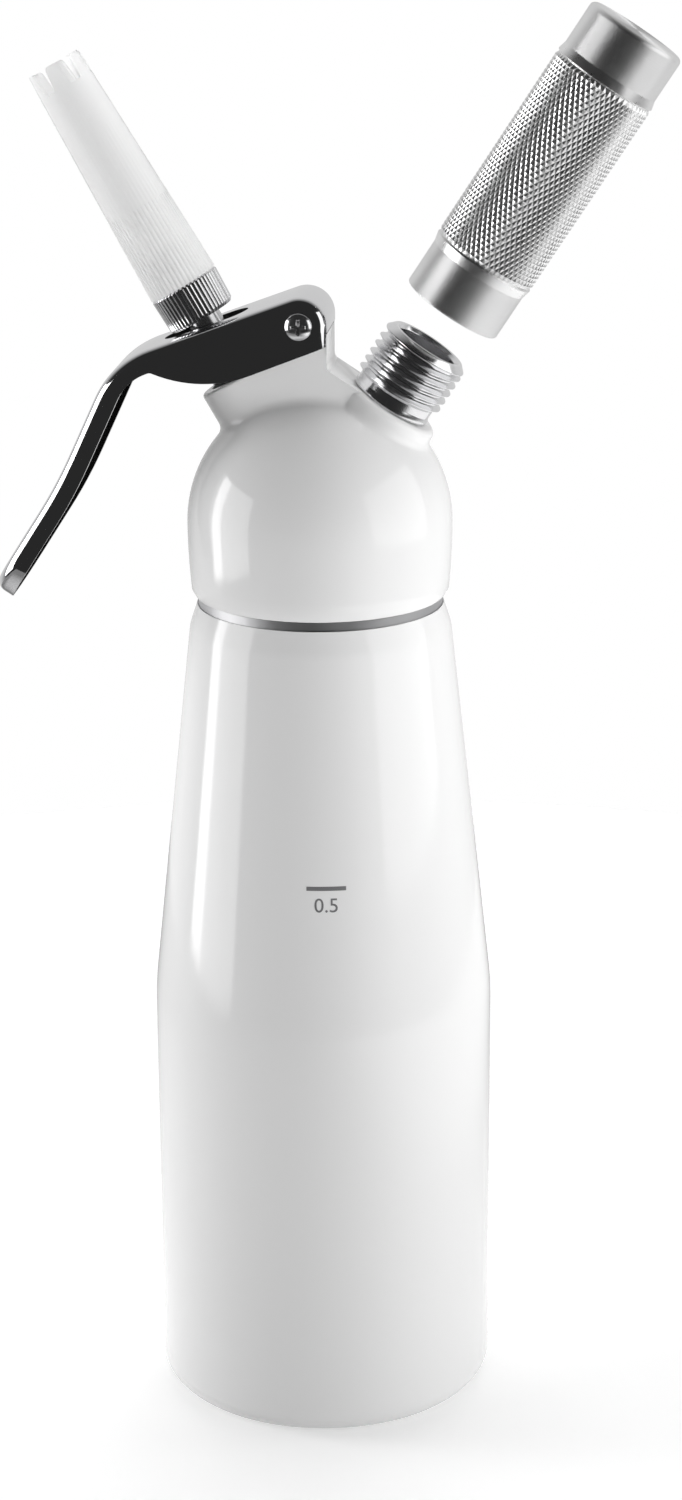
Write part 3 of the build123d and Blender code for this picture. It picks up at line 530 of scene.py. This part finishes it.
SCREW_PLACE = Vector((-3.3, -10.85, 256.5)) * MM
SCREW_HEAD_R, SCREW_SHANK_R, SCREW_LENGTH = 3.05, 1.5, 14.0
SCREW_STEPS, SCREW_RINGS = 144, 34
DOME_FOOT, DOME_RISE, DOME_FULLNESS = 0.15, 1.35, 0.985
CROSS_REACH, CROSS_HALF, CROSS_DEPTH = 1.72, 0.52, 1.1
CROSS_NARROWING, CROSS_SHALLOWING = 0.1, 0.35       # per millimetre outwards
CROSS_SIDE_FLANK, CROSS_END_FLANK = 0.12, 0.2


def screw_head_height(x, y):
    """Height of the head above its seat, in millimetres: a dome with a cross recess."""
    reach = min(1.0, math.hypot(x, y) / SCREW_HEAD_R)
    dome = DOME_FOOT + DOME_RISE * math.sqrt(1.0 - DOME_FULLNESS * reach**2)
    along, across = max(abs(x), abs(y)), min(abs(x), abs(y))
    side = (CROSS_HALF - CROSS_NARROWING * along - across) / CROSS_SIDE_FLANK
    end = (CROSS_REACH - along) / CROSS_END_FLANK
    return dome - (CROSS_DEPTH - CROSS_SHALLOWING * along) * max(0.0, min(1.0, side, end))


def pivot_screw():
    bm = bmesh.new()
    radii = [SCREW_HEAD_R * ring / SCREW_RINGS for ring in range(SCREW_RINGS + 1)]
    spoke = [bm.verts.new((radius * MM, 0, 0)) for radius in radii]
    edges = [bm.edges.new(pair) for pair in zip(spoke, spoke[1:])]
    bmesh.ops.spin(
        bm, geom=spoke + edges, cent=(0, 0, 0), axis=UP, angle=FULL_TURN, steps=SCREW_STEPS,
        use_merge=True, use_duplicate=False)
    for vert in bm.verts:
        vert.co.z = screw_head_height(vert.co.x / MM, vert.co.y / MM) * MM
    add_mesh_of(bm, turned([
        (SCREW_HEAD_R, screw_head_height(SCREW_HEAD_R, 0)), (SCREW_HEAD_R, 0), (SCREW_SHANK_R, 0),
        (SCREW_SHANK_R, -SCREW_LENGTH), (0, -SCREW_LENGTH)], SCREW_STEPS))
    close_up(bm)
    place = Matrix.Translation(SCREW_PLACE) @ FACE_FRONT
    add_piece("cross_screw", bm, place, "head", CHROME, ("pivot_screw",), 40.0)


# Charger port and holder

CHARGER_PITCH = 2.05        # of the thread that both share


def charger_port():
    bm = turned([
        (3.0, 24.0), (6.0, 24.0), (6.0, 31.45), (9.4, 31.45, 0.25), (9.4, 32.3), (9.1, 33.1, 0.5),
        (9.1, 44.7), (10.3, 45.6, 0.35), (8.75, 47.2, 0.4), (7.9, 47.2, 0.4), (7.2, 46.3, 0.4),
        (7.2, 35.6), (2.05, 35.6), (2.05, 29.05), (3.0, 29.05), (3.0, 24.0)], 112)
    add_thread(bm, root_r=9.05, crest_r=10.4, pitch=CHARGER_PITCH, start=34.0, turns=5.4)
    add_piece("charger_spigot", bm, PORT, "head", CHROME, ("charger_port",), 50.0)


KNURL_STARTS, KNURL_ROWS = 58, 44
KNURL_R, KNURL_GROOVE = 12.1, 0.25
KNURL_FOOT, KNURL_LENGTH = 13.1, 46.7
KNURL_END_DEPTH = 0.55      # both ends of the knurl dip under the body


def add_diamond_knurl(bm):
    """Diamond knurl about Z: a fine cage whose every second corner is a peak."""
    columns = 2 * KNURL_STARTS
    heights = [KNURL_FOOT + KNURL_LENGTH * row / KNURL_ROWS for row in range(KNURL_ROWS + 1)]
    low = []
    for row, verts in enumerate(grow_rings(bm, columns, KNURL_R, heights)):
        for vert in verts:
            sunk = 0.0
            if (row + column_of(vert, columns)) % 2 == 0:
                sunk = KNURL_GROOVE
                low.append(vert)
            if row in (0, KNURL_ROWS):
                sunk = KNURL_END_DEPTH
            vert.co.x *= (KNURL_R - sunk) / KNURL_R
            vert.co.y *= (KNURL_R - sunk) / KNURL_R
    bmesh.ops.connect_verts(bm, verts=low)


HOLDER_MOUTH = 56.5         # height on the port's axis, with the holder off as photographed
HOLDER_STEPS = 128
HOLDER_R, HOLDER_BORE_R, HOLDER_TOP = 11.58, 10.75, 72.4
HOLDER_BEVELS = ((10.75, 12.85), (60.05, 62.05))
HOLDER_OUTSIDE = [
    (HOLDER_BORE_R, 0), (HOLDER_R, 0, 0.5), (HOLDER_R, 10.7, 0.5), (12.08, 12.9, 0.1), (11.6, 13.2),
    (11.6, 59.7), (12.08, 60.0, 0.1), (HOLDER_R, 62.1, 0.5), (HOLDER_R, HOLDER_TOP, 1.2),
    (0, HOLDER_TOP)]
HOLDER_INSIDE = [
    (0, 70.5), (7.95, 70.5), (7.95, 68.9), (9.4, 68.9), (9.4, 13.5), (HOLDER_BORE_R, 13.5),
    (HOLDER_BORE_R, 0)]


def on_holder_bevel(face):
    center = face.calc_center_median() / MM
    outside = center.xy.length > (HOLDER_R + HOLDER_BORE_R) / 2
    return outside and any(low < center.z < high for low, high in HOLDER_BEVELS)


def charger_holder():
    bm = turned(HOLDER_OUTSIDE, HOLDER_STEPS)
    add_mesh_of(bm, turned(HOLDER_INSIDE, HOLDER_STEPS))
    close_up(bm)
    add_thread(bm, root_r=10.76, crest_r=10.45, pitch=CHARGER_PITCH, start=2.2, turns=4.6)
    turned_faces = set(bm.faces)
    add_diamond_knurl(bm)
    for face in bm.faces:
        face.material_index = 1 if face not in turned_faces or on_holder_bevel(face) else 0
    bmesh.ops.translate(bm, vec=(0, 0, HOLDER_MOUTH * MM), verts=bm.verts[:])
    obj = add_piece("charger_cup", bm, PORT, "holder", SATIN, ("charger_holder",), 20.0)
    obj.data.materials.append(KNURLED)


# Tip and adapter

# One flute or rib, from groove to groove: place along its pitch and part of the full depth there
FLUTE_SHAPE = [
    (0.0, 1.0), (0.08, 0.26), (0.22, 0.11), (0.36, 0.03),
    (0.5, 0.0), (0.64, 0.03), (0.78, 0.11), (0.92, 0.26)]
RIB_SHAPE = [
    (0.0, 1.0), (0.1, 0.86), (0.2, 0.5), (0.3, 0.14),
    (0.5, 0.0), (0.7, 0.14), (0.8, 0.5), (0.9, 0.86)]


def fluted_ring(levels, flutes, shape):
    """Ring of ribs and grooves about Z, not merged yet.

    Levels are (height, crest radius, groove radius) in millimetres, and the first comes again last.
    """
    bm = bmesh.new()
    columns = len(shape) * flutes
    rings = grow_rings(bm, columns, levels[0][1], [level[0] for level in levels])
    for (_, crest_r, groove_r), verts in zip(levels, rings):
        for vert in verts:
            flute, step = divmod(column_of(vert, columns), len(shape))
            place, depth = shape[step]
            radius = (crest_r + (groove_r - crest_r) * depth) * MM
            angle = FULL_TURN * (flute + place) / flutes
            vert.co.x, vert.co.y = radius * math.cos(angle), radius * math.sin(angle)
    return bm


ADAPTER_FLUTES = 48
ADAPTER_FOOT, ADAPTER_TOP, SPIGOT_TOP = 51.97, 60.36, 68.36
ADAPTER_CORE_R, ADAPTER_BORE_R, SPIGOT_R, SPIGOT_BORE_R = 6.9, 4.05, 6.0, 2.6
ADAPTER_BORE_TOP = 58.87


def tip_adapter():
    bm = turned([
        (ADAPTER_BORE_R, ADAPTER_FOOT), (ADAPTER_CORE_R, ADAPTER_FOOT),
        (ADAPTER_CORE_R, ADAPTER_TOP), (SPIGOT_R, ADAPTER_TOP), (SPIGOT_R, SPIGOT_TOP, 0.5),
        (SPIGOT_BORE_R, SPIGOT_TOP), (SPIGOT_BORE_R, ADAPTER_BORE_TOP),
        (ADAPTER_BORE_R, ADAPTER_BORE_TOP), (ADAPTER_BORE_R, ADAPTER_FOOT)], 72)
    ring = fluted_ring([
        (ADAPTER_FOOT, ADAPTER_CORE_R, ADAPTER_CORE_R), (ADAPTER_FOOT, 7.3, 7.2),
        (52.7, 7.86, 7.35), (59.9, 8.12, 7.6), (ADAPTER_TOP, 7.7, 7.6),
        (ADAPTER_TOP, ADAPTER_CORE_R, ADAPTER_CORE_R),
        (ADAPTER_FOOT, ADAPTER_CORE_R, ADAPTER_CORE_R)], ADAPTER_FLUTES, FLUTE_SHAPE)
    close_up(ring)
    add_mesh_of(bm, ring)
    add_piece("knurled_adapter", bm, VALVE, "adapter", CHROME, ("tip_adapter",), 25.0)


TIP_FOOT, TIP_RIB_END, TIP_MOUTH = 60.38, 80.0, 115.88
TIP_FOOT_R, TIP_MOUTH_R = 8.1, 6.3
TIP_SOCKET_R, TIP_SOCKET_TOP = 6.05, 68.96
TIP_THROAT_R, TIP_BORE_R = 5.4, 4.9
TIP_RIBS, TIP_RIB_DEPTH = 48, 0.45
NOTCH_TURN, NOTCH_SPACING = -56.0, 60.0     # degrees
NOTCH_DEPTH, NOTCH_HALF, NOTCH_FLARE = 5.5, 1.3, 0.45
TOOTH_ROUND, TOOTH_SHOULDER = 1.2, 1.1


def tip_outside(z):
    return TIP_FOOT_R + (TIP_MOUTH_R - TIP_FOOT_R) * (z - TIP_FOOT) / (TIP_MOUTH - TIP_FOOT)


def tip_bore(z):
    return TIP_BORE_R + (TIP_THROAT_R - TIP_BORE_R) * (TIP_MOUTH - z) / (TIP_MOUTH - TIP_SOCKET_TOP)


def notch_drop(turn):
    """How far the rim lies below the teeth's ends, in millimetres, at an angle about the axis."""
    off = (turn - NOTCH_TURN) % NOTCH_SPACING
    reach = math.radians(min(off, NOTCH_SPACING - off)) * TIP_MOUTH_R
    side = NOTCH_HALF + NOTCH_FLARE
    if reach < NOTCH_HALF:
        return NOTCH_DEPTH
    if reach < side:
        return NOTCH_DEPTH + (TOOTH_SHOULDER - NOTCH_DEPTH) * (reach - NOTCH_HALF) / NOTCH_FLARE
    if reach < side + TOOTH_ROUND:
        lean = 1.0 - (reach - side) / TOOTH_ROUND
        return max(0.0, TOOTH_SHOULDER - TOOTH_ROUND * math.sqrt(1.0 - lean * lean))
    return 0.0


def decorating_tip():
    rib_end_r = tip_outside(TIP_RIB_END)
    bm = fluted_ring([
        (TIP_FOOT, TIP_SOCKET_R, TIP_SOCKET_R), (TIP_FOOT, TIP_FOOT_R, TIP_FOOT_R - TIP_RIB_DEPTH),
        (TIP_RIB_END, rib_end_r, rib_end_r), (TIP_MOUTH, TIP_MOUTH_R, TIP_MOUTH_R),
        (TIP_MOUTH, TIP_BORE_R, TIP_BORE_R), (TIP_SOCKET_TOP, TIP_THROAT_R, TIP_THROAT_R),
        (TIP_SOCKET_TOP, TIP_SOCKET_R, TIP_SOCKET_R), (TIP_FOOT, TIP_SOCKET_R, TIP_SOCKET_R)],
        TIP_RIBS, RIB_SHAPE)
    for vert in bm.verts:
        if vert.co.z < (TIP_MOUTH - 0.01) * MM:
            continue
        angle = math.atan2(vert.co.y, vert.co.x)
        z = TIP_MOUTH - notch_drop(math.degrees(angle))
        radius = tip_outside(z) if vert.co.xy.length > TIP_THROAT_R * MM else tip_bore(z)
        vert.co = Vector((radius * math.cos(angle), radius * math.sin(angle), z)) * MM
    close_up(bm)
    add_piece("toothed_tip", bm, VALVE, "tip", MILKY, ("decorating_tip",), 35.0)


# Valve

WIRE_R, COIL_R = 0.5, 5.2
COIL_START, COIL_END, COIL_TURNS = 32.55, 44.02, 5.5
COIL_STEPS = round(36 * COIL_TURNS)


def valve_spring():
    bm = bmesh.new()
    bmesh.ops.create_circle(bm, segments=12, radius=WIRE_R * MM, cap_ends=False)
    bm.transform(Matrix.Translation((COIL_R * MM, 0, COIL_START * MM)) @ FACE_FRONT)
    step_rise = (COIL_END - COIL_START) / COIL_STEPS * MM
    bmesh.ops.spin(
        bm, geom=bm.verts[:] + bm.edges[:], cent=(0, 0, 0), axis=UP, angle=FULL_TURN * COIL_TURNS,
        steps=COIL_STEPS, dvec=(0, 0, step_rise), use_merge=False, use_duplicate=False)
    bmesh.ops.holes_fill(bm, edges=[edge for edge in bm.edges if edge.is_boundary], sides=0)
    bmesh.ops.recalc_face_normals(bm, faces=bm.faces[:])
    obj = add_piece("spring_wire", bm, VALVE, "head", STEEL, ("valve_spring",))
    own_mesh(obj)


def dress_plain_nodes():
    finishes = {
        "head_gasket": RUBBER, "pivot_sleeve": CHROME, "valve_stem": STEEL, "stem_o_ring": RUBBER,
        "poppet_gasket": RUBBER, "stem_collar": CHROME, "adapter_seal": RUBBER, "port_seal": RUBBER,
        "piercing_pin": STEEL, "charger_seal": RUBBER, "check_sleeve": RUBBER, "holder_pad": RUBBER}
    for node, finish in finishes.items():
        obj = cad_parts[node]
        obj.data.materials.clear()
        obj.data.materials.append(finish)


# Studio

FLOOR_R, FLOOR_PLACE = 0.42, (0, 0.02, -0.0002)
FLOOR_WHITE, FLOOR_BOUNCE, FLOOR_FADED = 0.97, 0.3, 0.2
FLOOR_GLOW = 0.275


def floor_material():
    material, shader = new_material("pale_floor", (FLOOR_WHITE, FLOOR_WHITE, FLOOR_WHITE), 0.0, 0.8)
    shader.inputs["Specular IOR Level"].default_value = 0.1
    shader.inputs["Emission Strength"].default_value = FLOOR_GLOW
    tree = material.node_tree
    path = tree.nodes.new("ShaderNodeLightPath")
    tone = map_range(tree, path.outputs["Is Diffuse Ray"], (0.0, 1.0), (FLOOR_WHITE, FLOOR_BOUNCE))
    # Mirrored in the paint, the floor fades with distance, so that its edge doesn't show;
    # on the right, where the holder mirrors it, it stays bright
    vector = object_vector(material)
    near = map_range(tree, axis_distance(tree, vector), (0.06, 0.3), (FLOOR_WHITE, FLOOR_FADED))
    right = map_range(tree, split(tree, vector)["X"], (0.04, 0.2), (FLOOR_FADED, FLOOR_WHITE))
    fade = combine(tree, "MAXIMUM", near, right)
    full = tree.nodes.new("ShaderNodeValue").outputs["Value"]
    full.default_value = 1.0
    for socket, straight in (("Base Color", tone), ("Emission Color", full)):
        mix = tree.nodes.new("ShaderNodeMix")
        tree.links.new(path.outputs["Is Glossy Ray"], mix.inputs["Factor"])
        tree.links.new(straight, mix.inputs["A"])
        tree.links.new(fade, mix.inputs["B"])
        tree.links.new(mix.outputs["Result"], shader.inputs[socket])
    return material


def studio_floor():
    bm = bmesh.new()
    bmesh.ops.create_circle(bm, cap_ends=True, segments=96, radius=FLOOR_R)
    bm.transform(Matrix.Translation(FLOOR_PLACE))
    mesh = bpy.data.meshes.new("floor")
    bm.to_mesh(mesh)
    bm.free()
    floor = bpy.data.objects.new("floor", mesh)
    bpy.context.scene.collection.objects.link(floor)
    mesh.materials.append(floor_material())


LIGHT_TARGET = Vector((0, 0, 0.1717))
# Name, azimuth and elevation in degrees from the front, distance, size, brightness as diffuse
# white, and whether glossy surfaces mirror it
SOFTBOXES = [
    ("softbox_left", -78.0, 4.0, 1.0, (0.75, 0.75), 0.47, True),
    ("softbox_edge", -94.0, 4.0, 1.0, (0.22, 0.75), 0.17, True),
    ("softbox_right", 80.0, 12.0, 1.0, (1.15, 0.85), 0.4, True),
    ("softbox_fill", 50.0, -6.0, 1.4, (1.0, 1.0), 0.8, False),
    ("softbox_side", -96.0, 5.0, 1.2, (0.6, 1.2), 0.42, False),
    ("softbox_top", 180.0, 70.0, 1.0, (0.9, 0.7), 0.42, False)]


def add_softbox(name, azimuth, elevation, distance, size, brightness, mirrored):
    """Area light that faces the middle of the whipper."""
    turn, rise = math.radians(azimuth), math.radians(elevation)
    level = math.cos(rise)
    towards = Vector((math.sin(turn) * level, -math.cos(turn) * level, math.sin(rise)))
    lamp = bpy.data.lights.new(name, "AREA")
    lamp.shape = "RECTANGLE"
    lamp.size, lamp.size_y = size
    lamp.energy = brightness * (math.pi * distance) ** 2
    obj = bpy.data.objects.new(name, lamp)
    obj.location = LIGHT_TARGET + towards * distance
    obj.rotation_euler = (-towards).to_track_quat("-Z", "Y").to_euler()
    obj.visible_glossy = mirrored
    bpy.context.scene.collection.objects.link(obj)


def studio_world():
    """Room that is dark in front, light behind, and white where it is seen straight or through."""
    world = bpy.data.worlds.new("studio")
    bpy.context.scene.world = world
    world.use_nodes = True
    tree = world.node_tree
    room = tree.nodes["Background"]
    room.inputs["Color"].default_value = (1, 1, 1, 1)
    direction = tree.nodes.new("ShaderNodeTexCoord").outputs["Generated"]
    depth = map_range(tree, split(tree, direction)["Y"], (-0.1, 0.65), (0.025, 0.66))
    tree.links.new(depth, room.inputs["Strength"])
    white = tree.nodes.new("ShaderNodeBackground")
    white.inputs["Color"].default_value = (1, 1, 1, 1)
    white.inputs["Strength"].default_value = 1.0
    path = tree.nodes.new("ShaderNodeLightPath")
    straight, rim_shade = path.outputs["Is Camera Ray"], path.outputs["Is Transmission Ray"]
    seen = combine(tree, "MAXIMUM", straight, rim_shade)
    mix = tree.nodes.new("ShaderNodeMixShader")
    tree.links.new(seen, mix.inputs["Fac"])
    tree.links.new(room.outputs["Background"], mix.inputs[1])
    tree.links.new(white.outputs["Background"], mix.inputs[2])
    tree.links.new(mix.outputs["Shader"], tree.nodes["World Output"].inputs["Surface"])
    bpy.context.scene.view_settings.view_transform = "Standard"


# Camera at the photograph's place, worked out from the bottle's circles; angles in degrees
CAMERA_PLACE = (0.07585, -0.7150, 0.3801)
CAMERA_LENS, CAMERA_SENSOR = 78.07, 36.0
CAMERA_TURN, CAMERA_DIP, CAMERA_ROLL = 5.7, 17.31, -0.34


def camera():
    data = bpy.data.cameras.new("camera")
    data.sensor_width = CAMERA_SENSOR
    data.lens = CAMERA_LENS
    data.clip_start = 0.01
    obj = bpy.data.objects.new("camera", data)
    turn = Matrix.Rotation(math.radians(CAMERA_TURN), 4, "Z")
    tilt = Matrix.Rotation(math.radians(90.0 - CAMERA_DIP), 4, "X")
    roll = Matrix.Rotation(math.radians(CAMERA_ROLL), 4, "Z")
    obj.matrix_world = Matrix.Translation(CAMERA_PLACE) @ turn @ tilt @ roll
    bpy.context.scene.collection.objects.link(obj)
    bpy.context.scene.camera = obj


camera()
studio_floor()
studio_world()
for softbox in SOFTBOXES:
    add_softbox(*softbox)
bottle()
fill_mark()
finished_copy("head_casting", "head", "head", ENAMEL, 0.4)
lever()
pivot_screw()
charger_port()
charger_holder()
tip_adapter()
decorating_tip()
valve_spring()
dress_plain_nodes()
